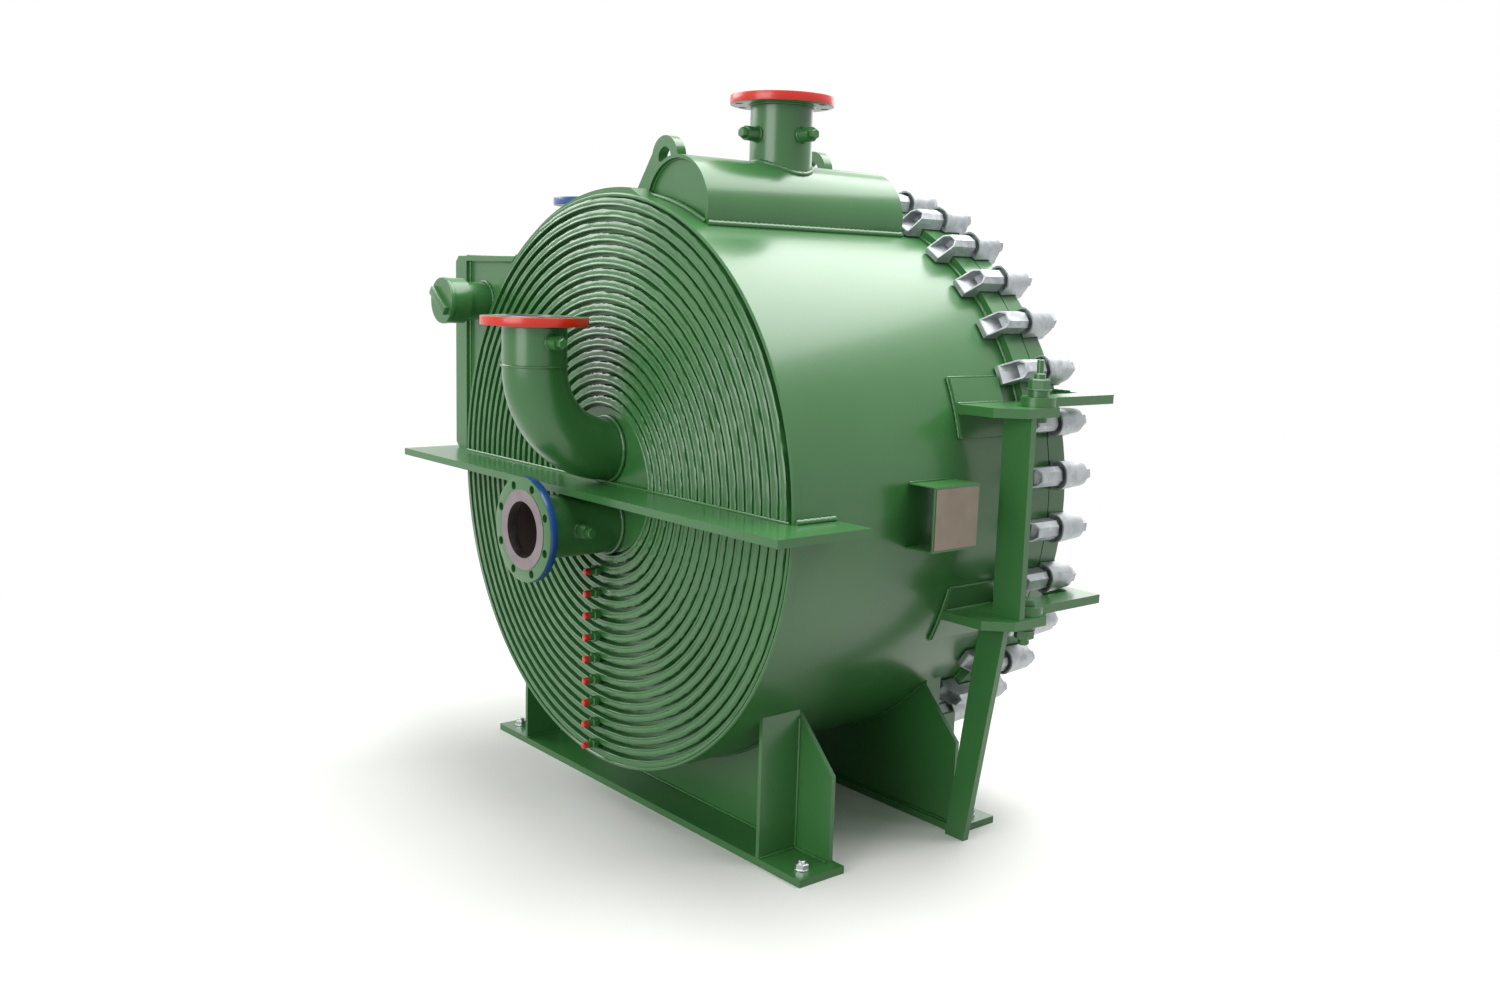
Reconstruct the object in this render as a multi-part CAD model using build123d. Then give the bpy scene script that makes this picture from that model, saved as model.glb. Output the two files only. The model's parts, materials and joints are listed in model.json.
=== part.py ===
"""Spiral heat exchanger: a horizontal drum of wound plate on two saddles, with a hinged, clamped door.

Millimetres, +Z up. The drum's axis runs along Y: the closed spiral end faces -Y and the door faces +Y.
The door's hinges are on the +X side and the outlet header box is on the -X side.
The origin is on the floor, in the middle of the four anchor bolts.
"""
import os
from math import pi, radians, sin, sqrt

from build123d import *

os.makedirs("parts", exist_ok=True)

# Drum
shell_radius = 780
drum_clearance = 135
shell_wall = 10
anchor_back_share = 0.5596107
shell_end_length = 796
closure_thickness = 18
plate_edge_height = 8
weld_fit = 0.3
overrun = 20

# Spiral winding: two plates wound on two centres, so each half turn is a half circle
core_radius = 195
turn_pitch = 62
spiral_plate = 5
core_plate = 12
cold_core_cover = 15

# Body flange, gasket and door
flange_thickness = 70
flange_rim = 25
gasket_thickness = 3
joint_clearance = 0.3
door_thickness = 65

# Clamps round the door
clamp_spacing = 144
hood_width = 68
foot_width = 60
hook_width = 46
clamp_standoff = 22
clamp_clearance = 2
hook_length = 62
hook_reach = 20
jaw_height = 62
jaw_reach = 34
jaw_foot = 22

# Stiffener across the spiral end
stiffener_overhang = 122
stiffener_projection = 152
stiffener_wrap = 134
stiffener_thickness = 20

# Nozzles, 6 inch class 150
pipe_outer = 168.3
pipe_wall = 7.1
nozzle_flange_outer = 279.4
nozzle_flange_thickness = 25.4
raised_face_outer = 215.9
raised_face_height = 1.6
nozzle_bolt_circle = 241.3
nozzle_bolt_count = 8
nozzle_bolt_hole = 22.2
elbow_bend_radius = 228.6
core_nozzle_offset = 100
elbow_flange_rise = 457
cold_nozzle_length = 256

# Half-pipe header on top of the drum
header_outer = 273
header_wall = 9.3
header_x = 215
header_start = 62
header_sink = 12
header_clear = 10
header_end_plate = 10
header_end_recess = 12
header_nozzle_y = -50
header_neck_length = 177

# Outlet box on the -X side
box_plate = 15
box_rise = 613
box_front_clear = 77
box_end_recess = 15
box_tail = 30
box_end_foot = 125
box_nozzle_inset = 153
box_nozzle_y = -79
box_neck_length = 191
rib_count = 7
rib_depth = 76
rib_plate = 12
rib_first = 18
rib_last = 76
rib_corner = 18
top_rib_height = 66
top_rib_length = 300
short_rib_length = 118
box_stub_outer = 114.3
box_stub_inset = 86
box_stub_rise = 477
box_stub_length = 144
stub_cap_outer = 135
stub_cap_length = 66
neck_stub_outer = 73
neck_stub_length = 75

# Lifting lugs on the drum
lug_plate = 30
lug_base_left = -165
lug_top_x = 8
lug_eye_rise = 105
lug_eye_radius = 28
lug_head_radius = 58
lug_inset = 175
lug_front_clear = 20
lug_shoulder_share = 0.8

# Saddles
base_half_length = 740
base_width = 150
base_plate = 20
saddle_setback = 150
web_plate = 12
web_from_end = 31
web_end_drop = 665
gusset_x = 574
gusset_plate = 12
gusset_depth = 125
gusset_notch_drop = 635
gusset_clear = 8
anchor_from_end = 50
anchor_hole = 26
anchor_from_inner = 100

# Door hinge
hinge_standoff = 75
hinge_setback = 92
upper_hinge_share = 1.98
lower_hinge_share = 1.847
arm_plate = 24
arm_half_width = 45
arm_outer = 30
arm_front = 45
arm_inner_x = 318
arm_chamfer = 42
pin_radius = 16
pin_running = 0.05
pin_head_radius = 26
pin_head = 16
bracket_plate = 24
bracket_setback = 160
bracket_front_clear = 7
bracket_overhang = 50
bracket_corner = 60
pad_plate = 12
pad_front_clear = 5
pad_half_height = 75
post_width = 90
post_plate = 20
leg_foot_inset = 25
leg_foot_width = 65
leg_top_width = 84

# Small fittings
handle_radius = 9
handle_bend = 30
handle_from_rim = 150
handle_rise = 28
handle_half_height = 95
handle_standoff = 55
eye_plate = 20
eye_radius = 68
eye_hole_radius = 34
eye_from_rim = 160
drain_stub_outer = 60
drain_stub_length = 105
drain_stub_from_rim = 60
cock_radius = 10
cock_length = 44
coupling_radius = 19
coupling_length = 40
nameplate_width = 165
nameplate_height = 163
nameplate_sheet = 3
nameplate_y = 0
nameplate_standoff = 85

# Places that follow from the sizes above
axis_height = shell_radius + drum_clearance
drum_length = plate_edge_height + closure_thickness + shell_end_length
y_back = -drum_length * anchor_back_share
y_closure = y_back + plate_edge_height
y_pack = y_closure + closure_thickness
y_flange = y_pack + shell_end_length
y_joint = y_flange + flange_thickness
y_door = y_joint + gasket_thickness + joint_clearance
y_door_front = y_door + door_thickness
flange_radius = shell_radius + flange_rim
clamp_radius = flange_radius + clamp_standoff
clamp_count = int(2 * pi * clamp_radius / clamp_spacing)
clamp_step = 360 / clamp_count
y_hooks = y_flange - hook_length
bracket_y_end = y_flange - bracket_front_clear
pad_y_end = y_hooks - pad_front_clear
hinge_x = flange_radius + hinge_standoff
hinge_y = y_flange - hinge_setback
bracket_y_start = hinge_y - bracket_setback
bracket_outer_x = hinge_x + bracket_overhang
pack_radius = shell_radius - shell_wall - weld_fit
centre_shift = turn_pitch / 4
turns = int((pack_radius - centre_shift - core_radius) / turn_pitch)
pipe_radius = pipe_outer / 2
bore_radius = pipe_radius - pipe_wall


def drum(radius, y0, y1, x=0, z=axis_height):
    """A round bar along Y."""
    return Pos(x, (y0 + y1) / 2, z) * Rot(90, 0, 0) * Cylinder(radius, y1 - y0)


def post_z(radius, z0, z1, x, y):
    """A round bar along Z."""
    return Pos(x, y, (z0 + z1) / 2) * Cylinder(radius, z1 - z0)


def block(x0, x1, y0, y1, z0, z1):
    """A box between two corners."""
    return Pos((x0 + x1) / 2, (y0 + y1) / 2, (z0 + z1) / 2) * Box(x1 - x0, y1 - y0, z1 - z0)


def across_y(points, y0, y1):
    """A plate whose outline lies in XZ, between two places on Y."""
    outline = Polyline([(x, y0, z) for x, z in points], close=True)
    return extrude(make_face(outline), amount=y1 - y0, dir=(0, 1, 0))


def upright(points, z0, z1):
    """A plate whose outline lies in XY, between two heights."""
    outline = Polyline([(x, y, z0) for x, y in points], close=True)
    return extrude(make_face(outline), amount=z1 - z0, dir=(0, 0, 1))


def half_ring(centre_x, inner, outer, side, y0, y1):
    """One half turn of a channel, above (side 1) or below (side -1) the axis."""
    ring = drum(outer, y0, y1, centre_x) - drum(inner, y0 - overrun, y1 + overrun, centre_x)
    reach = outer + overrun
    low = axis_height if side > 0 else axis_height - reach
    return ring & block(centre_x - reach, centre_x + reach, y0, y1, low, low + reach)


def channel(start, width, y0, y1):
    """A wound channel: half rings that grow by half the pitch and swap centres at each half turn."""
    rings = []
    for turn in range(turns):
        inner = start + turn * turn_pitch
        rings.append(half_ring(centre_shift, inner, inner + width, 1, y0, y1))
        inner += turn_pitch / 2
        rings.append(half_ring(-centre_shift, inner, inner + width, -1, y0, y1))
    return rings


def save(shape, node):
    export_step(shape, f"parts/{node}.step")


def gather(solids):
    return Compound(children=list(solids))


# Drum shell, winding and spiral end
inside = shell_radius - shell_wall
channel_width = turn_pitch / 2 - spiral_plate
elbow_z = axis_height + core_nozzle_offset
elbow_flange_height = axis_height + elbow_flange_rise
cold_z = axis_height - core_nozzle_offset


def outer_shell():
    return drum(shell_radius, y_pack, y_flange) - drum(inside, y_pack - overrun, y_flange + overrun)


def spiral_winding():
    """The wound plates: the hot channel is open at the door, the cold one is closed all round."""
    pack = drum(pack_radius, y_pack, y_joint)
    core = core_radius - spiral_plate
    hot_core = drum(core, y_pack, y_joint) & block(-core, core, y_pack, y_joint,
                                                   axis_height + core_plate / 2, axis_height + core)
    cold_core = drum(core, y_pack, y_joint - cold_core_cover) & block(
        -core, core, y_pack, y_joint - cold_core_cover, axis_height - core, axis_height - core_plate / 2)
    return pack - channel(core_radius, channel_width, y_pack, y_joint) - [hot_core, cold_core]


def spiral_end():
    """The closed end: a welded disc with the edges of both wound plates standing proud of it."""
    disc = drum(shell_radius, y_closure, y_pack)
    inner_plate = channel(core_radius - spiral_plate, spiral_plate, y_back, y_closure)
    outer_plate = channel(core_radius + channel_width, spiral_plate, y_back, y_closure)
    rim = drum(shell_radius, y_back, y_closure) - drum(inside, y_back - overrun, y_closure)
    end = disc + inner_plate + outer_plate + rim
    for z in (elbow_z, cold_z):
        end -= drum(bore_radius, y_closure - overrun, y_pack + overrun, 0, z)
    return end


def stiffener_plate():
    """The plate across the spiral end, wrapped round the drum's sides."""
    z0 = axis_height - stiffener_thickness / 2
    z1 = axis_height + stiffener_thickness / 2
    half = shell_radius + stiffener_overhang
    front = y_back - stiffener_projection
    wing = y_back + stiffener_wrap
    plate = block(-half, half, front, y_back, z0, z1)
    wings = block(-half, half, y_back, wing, z0, z1)
    wings -= drum(shell_radius, y_back - overrun, wing + overrun)
    wings -= block(-shell_radius - box_plate, 0, y_back, wing, z0, z1)
    return plate + wings


# Nozzles
def nozzle_flange():
    """A flange lying on its back at the origin, raised face up."""
    low = nozzle_flange_thickness - raised_face_height
    ring = post_z(nozzle_flange_outer / 2, 0, low, 0, 0) + post_z(raised_face_outer / 2, low,
                                                                  nozzle_flange_thickness, 0, 0)
    ring -= post_z(bore_radius, -overrun, nozzle_flange_thickness + overrun, 0, 0)
    hole = post_z(nozzle_bolt_hole / 2, -overrun, nozzle_flange_thickness + overrun, 0, 0)
    start = 180 / nozzle_bolt_count
    places = PolarLocations(nozzle_bolt_circle / 2, nozzle_bolt_count, start_angle=start)
    return ring - [place * hole for place in places]


def pipe_z(z0, z1, x, y):
    return post_z(pipe_radius, z0, z1, x, y) - post_z(bore_radius, z0 - overrun, z1 + overrun, x, y)


def elbow_pipe():
    """The hot core nozzle: a long-radius elbow off the core, then a short spool."""
    y_spool = y_closure - elbow_bend_radius
    ring = Circle(pipe_radius) - Circle(bore_radius)
    section = Plane((0, y_closure, elbow_z), x_dir=(1, 0, 0), z_dir=(0, -1, 0)) * ring
    bend = revolve(section, Axis((0, y_closure, elbow_z + elbow_bend_radius), (-1, 0, 0)), 90)
    spool = pipe_z(elbow_z + elbow_bend_radius, elbow_flange_height - nozzle_flange_thickness, 0, y_spool)
    return bend + spool


def elbow_flange():
    y_spool = y_closure - elbow_bend_radius
    return Pos(0, y_spool, elbow_flange_height - nozzle_flange_thickness) * nozzle_flange()


cold_flange_back = y_back - cold_nozzle_length + nozzle_flange_thickness


def cold_pipe():
    tube = drum(pipe_radius, cold_flange_back, y_closure, 0, cold_z)
    return tube - drum(bore_radius, cold_flange_back - overrun, y_closure + overrun, 0, cold_z)


def cold_flange():
    return Pos(0, cold_flange_back, cold_z) * Rot(90, 0, 0) * nozzle_flange()


# Half-pipe header
header_z = axis_height + sqrt(shell_radius**2 - header_x**2) - header_sink
header_back = y_back + header_start
header_front = y_hooks - header_clear
header_radius = header_outer / 2
header_bore = header_radius - header_wall
header_flange_height = header_z + header_radius + header_neck_length


def half_pipe_header():
    tube = drum(header_radius, header_back, header_front, header_x, header_z)
    tube -= drum(header_bore, header_back - overrun, header_front + overrun, header_x, header_z)
    tube -= drum(shell_radius, header_back - overrun, header_front + overrun)
    return tube - post_z(bore_radius, header_z, header_flange_height, header_x, header_nozzle_y)


def header_end_plates():
    plates = []
    for y0 in (header_back + header_end_recess, header_front - header_end_recess - header_end_plate):
        disc = drum(header_bore, y0, y0 + header_end_plate, header_x, header_z)
        plates.append(disc - drum(shell_radius, y0 - overrun, y0 + header_end_plate + overrun))
    return gather(plates)


def header_neck():
    neck = pipe_z(header_z, header_flange_height - nozzle_flange_thickness, header_x, header_nozzle_y)
    return neck - drum(header_radius, header_back, header_front, header_x, header_z)


def header_flange():
    return Pos(header_x, header_nozzle_y, header_flange_height - nozzle_flange_thickness) * nozzle_flange()


# Outlet box
box_x = -shell_radius
box_outer_x = box_x - box_plate
rib_outer_x = box_outer_x - rib_depth
box_front = y_flange - box_front_clear
box_top_height = axis_height + box_rise
box_flange_height = box_top_height + box_neck_length
box_nozzle_x = box_nozzle_inset - shell_radius
box_roof = box_top_height - box_plate
rib_pitch = (box_front - y_back - rib_first - rib_last) / (rib_count - 1)
stiffener_top = axis_height + stiffener_thickness / 2


def box_side_plate():
    return block(box_outer_x, box_x, y_back, box_front, axis_height - box_tail, box_top_height)


def box_top_plate():
    plate = block(box_x, 0, y_back, box_front, box_roof, box_top_height)
    plate -= drum(shell_radius, y_back - overrun, box_front + overrun)
    return plate - post_z(bore_radius, box_roof - overrun, box_flange_height, box_nozzle_x, box_nozzle_y)


def box_end(y0):
    plate = block(box_x, 0, y0, y0 + box_plate, axis_height + box_end_foot, box_roof)
    return plate - drum(shell_radius, y0 - overrun, y0 + box_plate + overrun)


def rib_y(index):
    return y_back + rib_first + index * rib_pitch


def box_side_ribs():
    ribs = []
    for index in range(rib_count):
        y0 = rib_y(index) - rib_plate / 2
        low = stiffener_top if y0 < y_back + stiffener_wrap else axis_height - box_tail
        inset = rib_outer_x + rib_corner
        outline = [(box_outer_x, low), (inset, low), (rib_outer_x, low + rib_corner),
                   (rib_outer_x, box_top_height - rib_corner), (inset, box_top_height),
                   (box_outer_x, box_top_height)]
        ribs.append(across_y(outline, y0, y0 + rib_plate))
    return gather(ribs)


def box_top_ribs():
    ribs = []
    top = box_top_height + top_rib_height
    for index, length in ((rib_count - 1, top_rib_length), (rib_count // 2, short_rib_length)):
        y0 = rib_y(index) - rib_plate / 2
        inner = rib_outer_x + length
        low_x = rib_outer_x + rib_corner
        outline = [(low_x, box_top_height), (rib_outer_x, box_top_height + rib_corner), (rib_outer_x, top - rib_corner),
                   (low_x, top), (inner - rib_corner, top), (inner, top - rib_corner), (inner, box_top_height)]
        ribs.append(across_y(outline, y0, y0 + rib_plate))
    return gather(ribs)


def box_neck():
    return pipe_z(box_top_height, box_flange_height - nozzle_flange_thickness, box_nozzle_x, box_nozzle_y)


def box_flange():
    return Pos(box_nozzle_x, box_nozzle_y, box_flange_height - nozzle_flange_thickness) * nozzle_flange()


def capped_stubs():
    """The capped hand-hole stub on the box's back plate and the capped branch on its neck."""
    back = y_back + box_end_recess
    end = back - box_stub_length
    x = box_stub_inset - shell_radius
    hand_hole = drum(box_stub_outer / 2, end, back, x, axis_height + box_stub_rise)
    hand_hole += drum(stub_cap_outer / 2, end, end + stub_cap_length, x, axis_height + box_stub_rise)
    z = (box_top_height + box_flange_height - nozzle_flange_thickness) / 2
    branch = drum(neck_stub_outer / 2, box_nozzle_y, box_nozzle_y + pipe_radius + neck_stub_length, box_nozzle_x, z)
    branch -= post_z(pipe_radius, box_top_height, box_flange_height, box_nozzle_x, box_nozzle_y)
    return gather([hand_hole, branch])


# Saddles
saddle_inner = y_flange - saddle_setback
anchor_x = base_half_length - anchor_from_end
web_half_length = base_half_length - web_from_end
web_end_height = axis_height - web_end_drop
gusset_notch = axis_height - gusset_notch_drop


def saddle_bases():
    bases = []
    for side in (-1, 1):
        y0, y1 = sorted((side * saddle_inner, side * (saddle_inner + base_width)))
        plate = block(-base_half_length, base_half_length, y0, y1, 0, base_plate)
        for x in (-anchor_x, anchor_x):
            y = side * (saddle_inner + anchor_from_inner)
            plate -= post_z(anchor_hole / 2, -overrun, base_plate + overrun, x, y)
        bases.append(plate)
    return gather(bases)


web_inner = saddle_inner + web_plate
web_outer = web_inner + web_plate


def saddle_webs():
    webs = []
    for side in (-1, 1):
        y0, y1 = sorted((side * web_inner, side * web_outer))
        top = axis_height - sqrt(shell_radius**2 - gusset_x**2)
        outline = [(-web_half_length, base_plate), (web_half_length, base_plate), (web_half_length, web_end_height),
                   (gusset_x, top), (-gusset_x, top), (-web_half_length, web_end_height)]
        webs.append(across_y(outline, y0, y1) - drum(shell_radius, y0 - overrun, y1 + overrun))
    return gather(webs)


def saddle_gussets():
    gussets = []
    for side in (-1, 1):
        y0, y1 = sorted((side * web_outer, side * (web_outer + gusset_depth)))
        for x in (-gusset_x, gusset_x):
            plate = block(x - gusset_plate / 2, x + gusset_plate / 2, y0, y1, base_plate, axis_height)
            plate -= block(x - gusset_plate, x + gusset_plate, y_hooks - gusset_clear, y_joint, gusset_notch, axis_height)
            gussets.append(plate - drum(shell_radius, y0 - overrun, y1 + overrun))
    return gather(gussets)


def lifting_lugs():
    lugs = []
    root = axis_height + sqrt(shell_radius**2 - lug_base_left**2) - overrun
    lug_eye_height = axis_height + shell_radius + lug_eye_rise
    shoulder = lug_head_radius * lug_shoulder_share
    for y0 in (y_back + lug_inset, y_hooks - lug_front_clear - lug_plate):
        y1 = y0 + lug_plate
        outline = [(lug_base_left, root), (lug_top_x - shoulder, lug_eye_height + shoulder - overrun),
                   (lug_top_x + lug_head_radius, lug_eye_height), (lug_top_x + lug_head_radius, root)]
        lug = across_y(outline, y0, y1) + drum(lug_head_radius, y0, y1, lug_top_x, lug_eye_height)
        lug -= drum(lug_eye_radius, y0 - overrun, y1 + overrun, lug_top_x, lug_eye_height)
        lugs.append(lug - drum(shell_radius, y0 - overrun, y1 + overrun))
    return gather(lugs)


# Body flange, gasket, door and clamps
def body_flange():
    return drum(flange_radius, y_flange, y_joint) - drum(inside, y_flange - overrun, y_joint + overrun)


def gasket():
    return drum(inside, y_joint + joint_clearance, y_door) - drum(inside - flange_rim, y_joint, y_door + overrun)


def door_plate():
    return drum(flange_radius, y_door, y_door_front)


def round_the_door(shape):
    """One copy of a clamp piece at each place, drawn at the +X place on an axis through the origin."""
    copies = []
    for index in range(clamp_count):
        copies.append(Pos(0, 0, axis_height) * Rot(0, clamp_step * (index + 0.5), 0) * shape)
    return gather(copies)


def clamp_bar(y0, y1, half):
    """The clamp's D-shaped shank, straight on the flange side and round outside."""
    straight = block(flange_radius + clamp_clearance, clamp_radius, y0, y1, -half, half)
    outside = block(clamp_radius, clamp_radius + half, y0, y1, -half, half)
    return straight + (drum(half, y0, y1, clamp_radius, 0) & outside)


def clamp_hooks():
    """The clamps' rear halves: a bar over the flange, sloped down behind it to a hook."""
    half = hook_width / 2
    tail = y_hooks
    bar = clamp_bar(tail, y_joint - clamp_clearance, half)
    hook = block(flange_radius - hook_reach, clamp_radius, tail, y_flange, -half, half)
    slope = Polyline([(flange_radius - hook_reach, tail, -hook_width), (clamp_radius + hook_width, tail, -hook_width),
                      (clamp_radius + hook_width, tail + hook_length, -hook_width)], close=True)
    wedge = extrude(make_face(slope), amount=hook_width * 2, dir=(0, 0, 1))
    return round_the_door(bar + hook - wedge)


def clamp_jaws():
    """The clamps' front halves: a hood over the door's edge with a foot on its face."""
    half = hood_width / 2
    hood = clamp_bar(y_door, y_door_front + jaw_height, half)
    sole = foot_width / 2
    foot = block(flange_radius - jaw_reach, clamp_radius, y_door_front, y_door_front + jaw_foot, -sole, sole)
    return round_the_door(hood + foot)


# Door hinge
upper_arm_z = axis_height + clamp_radius * sin(radians(upper_hinge_share * clamp_step))
lower_arm_z = axis_height - clamp_radius * sin(radians(lower_hinge_share * clamp_step))
arm_half = arm_plate / 2


def bracket_top(arm_z):
    return arm_z - arm_half - joint_clearance


def hinge_arms():
    """Flat arms across the door's front, carried round its edge to the hinge pins."""
    front = y_door_front + arm_front
    outer = hinge_x + arm_outer
    inner = hinge_x - arm_half_width
    outline = [(inner, hinge_y), (outer, hinge_y), (outer, front), (arm_inner_x + arm_chamfer, front),
               (arm_inner_x, front - arm_chamfer), (arm_inner_x, y_door_front), (inner, y_door_front)]
    arms = []
    for z in (upper_arm_z, lower_arm_z):
        arm = upright(outline, z - arm_half, z + arm_half)
        arm += post_z(arm_half_width, z - arm_half, z + arm_half, hinge_x, hinge_y)
        arms.append(arm - post_z(pin_radius + pin_running, z - arm_plate, z + arm_plate, hinge_x, hinge_y))
    return gather(arms)


def hinge_brackets():
    brackets = []
    for z in (upper_arm_z, lower_arm_z):
        top = bracket_top(z)
        outline = [(0, bracket_y_start), (bracket_outer_x - bracket_corner, bracket_y_start),
                   (bracket_outer_x, bracket_y_start + bracket_corner), (bracket_outer_x, bracket_y_end - bracket_corner),
                   (bracket_outer_x - bracket_corner, bracket_y_end), (0, bracket_y_end)]
        plate = upright(outline, top - bracket_plate, top)
        plate -= drum(shell_radius + pad_plate, bracket_y_start - overrun, bracket_y_end + overrun)
        brackets.append(plate - post_z(pin_radius + pin_running, top - bracket_plate - overrun, top + overrun,
                                       hinge_x, hinge_y))
    return gather(brackets)


def hinge_pads():
    ring = drum(shell_radius + pad_plate, bracket_y_start, pad_y_end) - drum(
        shell_radius, bracket_y_start - overrun, pad_y_end + overrun)
    pads = []
    for z in (upper_arm_z, lower_arm_z):
        middle = bracket_top(z) - bracket_plate / 2
        pads.append(ring & block(0, shell_radius * 2, bracket_y_start, pad_y_end,
                                 middle - pad_half_height, middle + pad_half_height))
    return gather(pads)


def hinge_pins():
    pins = []
    for z in (upper_arm_z, lower_arm_z):
        low = bracket_top(z) - bracket_plate
        high = z + arm_half + joint_clearance
        pin = post_z(pin_radius, low - pin_head, high + pin_head, hinge_x, hinge_y)
        pin += post_z(pin_head_radius, low - pin_head, low, hinge_x, hinge_y)
        pins.append(pin + post_z(pin_head_radius, high, high + pin_head, hinge_x, hinge_y))
    return gather(pins)


def hinge_post():
    y0 = saddle_inner - post_plate
    low = bracket_top(lower_arm_z)
    high = bracket_top(upper_arm_z) - bracket_plate
    return block(hinge_x - post_width / 2, hinge_x + post_width / 2, y0, saddle_inner, low, high)


def hinge_leg():
    """The slanted flat bar that carries the lower bracket down to the front saddle's base."""
    top = bracket_top(lower_arm_z) - bracket_plate
    left = hinge_x - leg_top_width
    leg_foot_x = base_half_length - leg_foot_inset
    outline = [(leg_foot_x, 0), (leg_foot_x + leg_foot_width, 0), (left + leg_top_width, top), (left, top)]
    return across_y(outline, saddle_inner - post_plate, saddle_inner)


# Small fittings on the door and drum
def grab_handle():
    """A round bar bent to a U and welded to the door."""
    x = handle_from_rim - flange_radius
    z0 = axis_height + handle_rise - handle_half_height
    z1 = axis_height + handle_rise + handle_half_height
    reach = y_door_front + handle_standoff
    line = FilletPolyline((x, y_door_front, z0), (x, reach, z0), (x, reach, z1), (x, y_door_front, z1), radius=handle_bend)
    section = Plane(line @ 0, z_dir=line % 0) * Circle(handle_radius)
    return sweep(section, path=line)


def door_eyes():
    """Two D-shaped plates that the door is lifted by."""
    eyes = []
    half = eye_plate / 2
    bar = eye_radius - eye_hole_radius
    eye_rise = flange_radius - eye_from_rim
    for z in (axis_height - eye_rise, axis_height + eye_rise):
        disc = Pos(0, y_door_front, z) * Rot(0, 90, 0) * Cylinder(eye_radius, eye_plate)
        hole = Pos(0, y_door_front + bar / 2, z) * Rot(0, 90, 0) * Cylinder(eye_hole_radius, eye_plate * 2)
        hole &= block(-eye_plate, eye_plate, y_door_front + bar / 2, y_door_front + eye_radius, z - eye_radius,
                      z + eye_radius)
        eyes.append((disc & block(-half, half, y_door_front, y_door_front + eye_radius, z - eye_radius,
                                  z + eye_radius)) - hole)
    return gather(eyes)


def door_drain_stub():
    z = axis_height - flange_radius + drain_stub_from_rim
    return drum(drain_stub_outer / 2, y_door_front, y_door_front + drain_stub_length, 0, z)


def drain_cocks():
    """A small drain on each lower turn of the hot channel."""
    cocks = []
    for turn in range(turns):
        middle = core_radius + turn_pitch / 2 + turn * turn_pitch + channel_width / 2
        cocks.append(drum(cock_radius, y_closure - cock_length, y_closure, -centre_shift, axis_height - middle))
    return gather(cocks)


def couplings():
    """Plugged instrument couplings on the nozzle necks."""
    reach = pipe_radius + coupling_length
    y_spool = y_closure - elbow_bend_radius
    header_middle = header_flange_height - nozzle_flange_thickness - coupling_length * 2
    elbow_middle = elbow_flange_height - nozzle_flange_thickness - coupling_length
    box_middle = (box_top_height + box_flange_height - nozzle_flange_thickness) / 2
    along_x = Rot(0, 90, 0)
    fittings = []
    for x, y, z in ((header_x, header_nozzle_y, header_middle), (0, y_spool, elbow_middle)):
        fitting = Pos(x + reach / 2, y, z) * along_x * Cylinder(coupling_radius, reach)
        fittings.append(fitting - post_z(pipe_radius, z - overrun * 2, z + overrun * 2, x, y))
    for x, y, z in ((header_x, header_nozzle_y, header_middle), (box_nozzle_x, box_nozzle_y, box_middle)):
        fitting = drum(coupling_radius, y - reach, y, x, z)
        fittings.append(fitting - post_z(pipe_radius, z - overrun * 2, z + overrun * 2, x, y))
    y = y_back - cold_nozzle_length / 2
    fitting = Pos(reach / 2, y, cold_z) * along_x * Cylinder(coupling_radius, reach)
    fittings.append(fitting - drum(pipe_radius, y - overrun * 2, y + overrun * 2, 0, cold_z))
    return gather(fittings)


def nameplate_bracket():
    """A sheet bent round to hold the nameplate clear of the drum, open at its sides."""
    y0 = nameplate_y - nameplate_width / 2
    y1 = nameplate_y + nameplate_width / 2
    z0 = axis_height - nameplate_height / 2
    z1 = axis_height + nameplate_height / 2
    face = shell_radius + nameplate_standoff
    sheet = block(0, face, y0, y1, z0, z1)
    sheet -= block(0, face - nameplate_sheet, y0, y1, z0 + nameplate_sheet, z1 - nameplate_sheet)
    return sheet - drum(shell_radius, y0 - overrun, y1 + overrun)


def nameplate():
    face = shell_radius + nameplate_standoff
    margin = nameplate_sheet * 2
    y0 = nameplate_y - nameplate_width / 2 + margin
    y1 = nameplate_y + nameplate_width / 2 - margin
    z0 = axis_height - nameplate_height / 2 + margin
    z1 = axis_height + nameplate_height / 2 - margin
    return block(face, face + nameplate_sheet / 2, y0, y1, z0, z1)


sub_parts = [outer_shell, spiral_winding, spiral_end, stiffener_plate, elbow_pipe, elbow_flange, cold_pipe, cold_flange,
             half_pipe_header, header_end_plates, header_neck, header_flange, box_side_plate, box_top_plate,
             box_side_ribs, box_top_ribs, box_neck, box_flange, capped_stubs, saddle_bases, saddle_webs,
             saddle_gussets, lifting_lugs, body_flange, gasket, door_plate, clamp_hooks, clamp_jaws, hinge_arms,
             hinge_brackets, hinge_pads, hinge_pins, hinge_post, hinge_leg, grab_handle, door_eyes, door_drain_stub,
             drain_cocks, couplings, nameplate_bracket, nameplate]
for sub_part in sub_parts:
    save(sub_part(), sub_part.__name__)
save(box_end(y_back + box_end_recess), "box_back_plate")
save(box_end(box_front - box_end_recess - box_plate), "box_front_plate")
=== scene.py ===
import json
import random
from math import cos, pi, radians, sin, sqrt

import bmesh
import bpy
from mathutils import Matrix, Vector


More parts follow.
